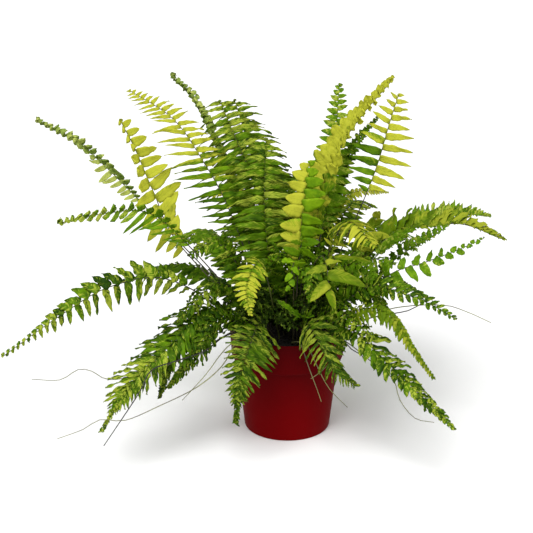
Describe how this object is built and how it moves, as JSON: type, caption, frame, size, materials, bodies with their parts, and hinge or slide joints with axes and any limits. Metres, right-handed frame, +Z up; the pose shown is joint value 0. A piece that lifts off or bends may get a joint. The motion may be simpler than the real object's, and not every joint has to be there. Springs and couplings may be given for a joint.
{
  "type": "potted boston fern",
  "caption": "Boston fern with arching fronds cut into leaflets and thin bare runners, growing in soil in a round tapered plastic nursery pot.",
  "frame": {"origin": "centre of the pot's underside, on the surface that the pot stands on", "axes": "+Z up along the pot's axis, -Y towards the viewer of the picture, +X to the viewer's right"},
  "size_m": [0.5481, 0.4137, 0.3842],
  "materials": {
    "green": "satin, fresh green leaf",
    "lime": "satin, yellow-green leaf",
    "pot": "deep red, soft gloss",
    "soil": "dark crumbly peat",
    "runner": "matt olive to brown stem"
  },
  "bodies": {
    "root": {"pot": "pot", "soil": "soil", "frond_centre_two_tone": "lime", "frond_back_upright": "green", "frond_back_left_dark": "green", "frond_back_mid_dark": "green", "frond_left_yellow": "lime", "frond_left_lime": "lime", "frond_left_curled": "green", "frond_left_high_narrow": "green", "frond_left_level": "green", "frond_left_low": "green", "frond_right_tall": "lime", "frond_right_upright": "green", "frond_right_yellow_broad": "lime", "frond_right_dark_small": "green", "frond_right_small_level": "lime", "frond_right_arch": "lime", "frond_right_arch_narrow": "green", "frond_right_arch_back": "green", "frond_right_sparse": "green", "frond_right_low_green": "green", "frond_right_droop": "lime", "frond_right_low_floor": "green", "frond_front_right_over": "green", "frond_front_left_over": "green", "frond_left_low_floor": "green", "frond_front_small_bright": "lime", "frond_front_star": "lime", "frond_front_small_yellow": "lime", "frond_left_dark_low": "green", "frond_left_hang_front": "green", "frond_left_hang_side": "green", "frond_left_middle": "green", "frond_front_middle": "green", "frond_right_middle": "green", "frond_front_right_middle": "green", "frond_back_low_1": "green", "frond_back_low_2": "green", "frond_back_low_3": "lime", "frond_back_low_4": "green", "frond_back_low_5": "green", "frond_back_high_1": "green", "frond_back_high_2": "lime", "frond_back_high_3": "green", "frond_left_back_low": "green", "frond_right_back_low": "green", "runner_left_long": "runner", "runner_left_dark": "runner", "runner_left_floor": "runner", "runner_left_short": "runner", "runner_right_light": "runner", "runner_right_dark": "runner", "runner_right_loop": "runner", "runner_right_twig": "runner", "runner_front_short": "runner", "runner_front_long": "runner", "runner_front_cross": "runner"}
  },
  "joints": []
}
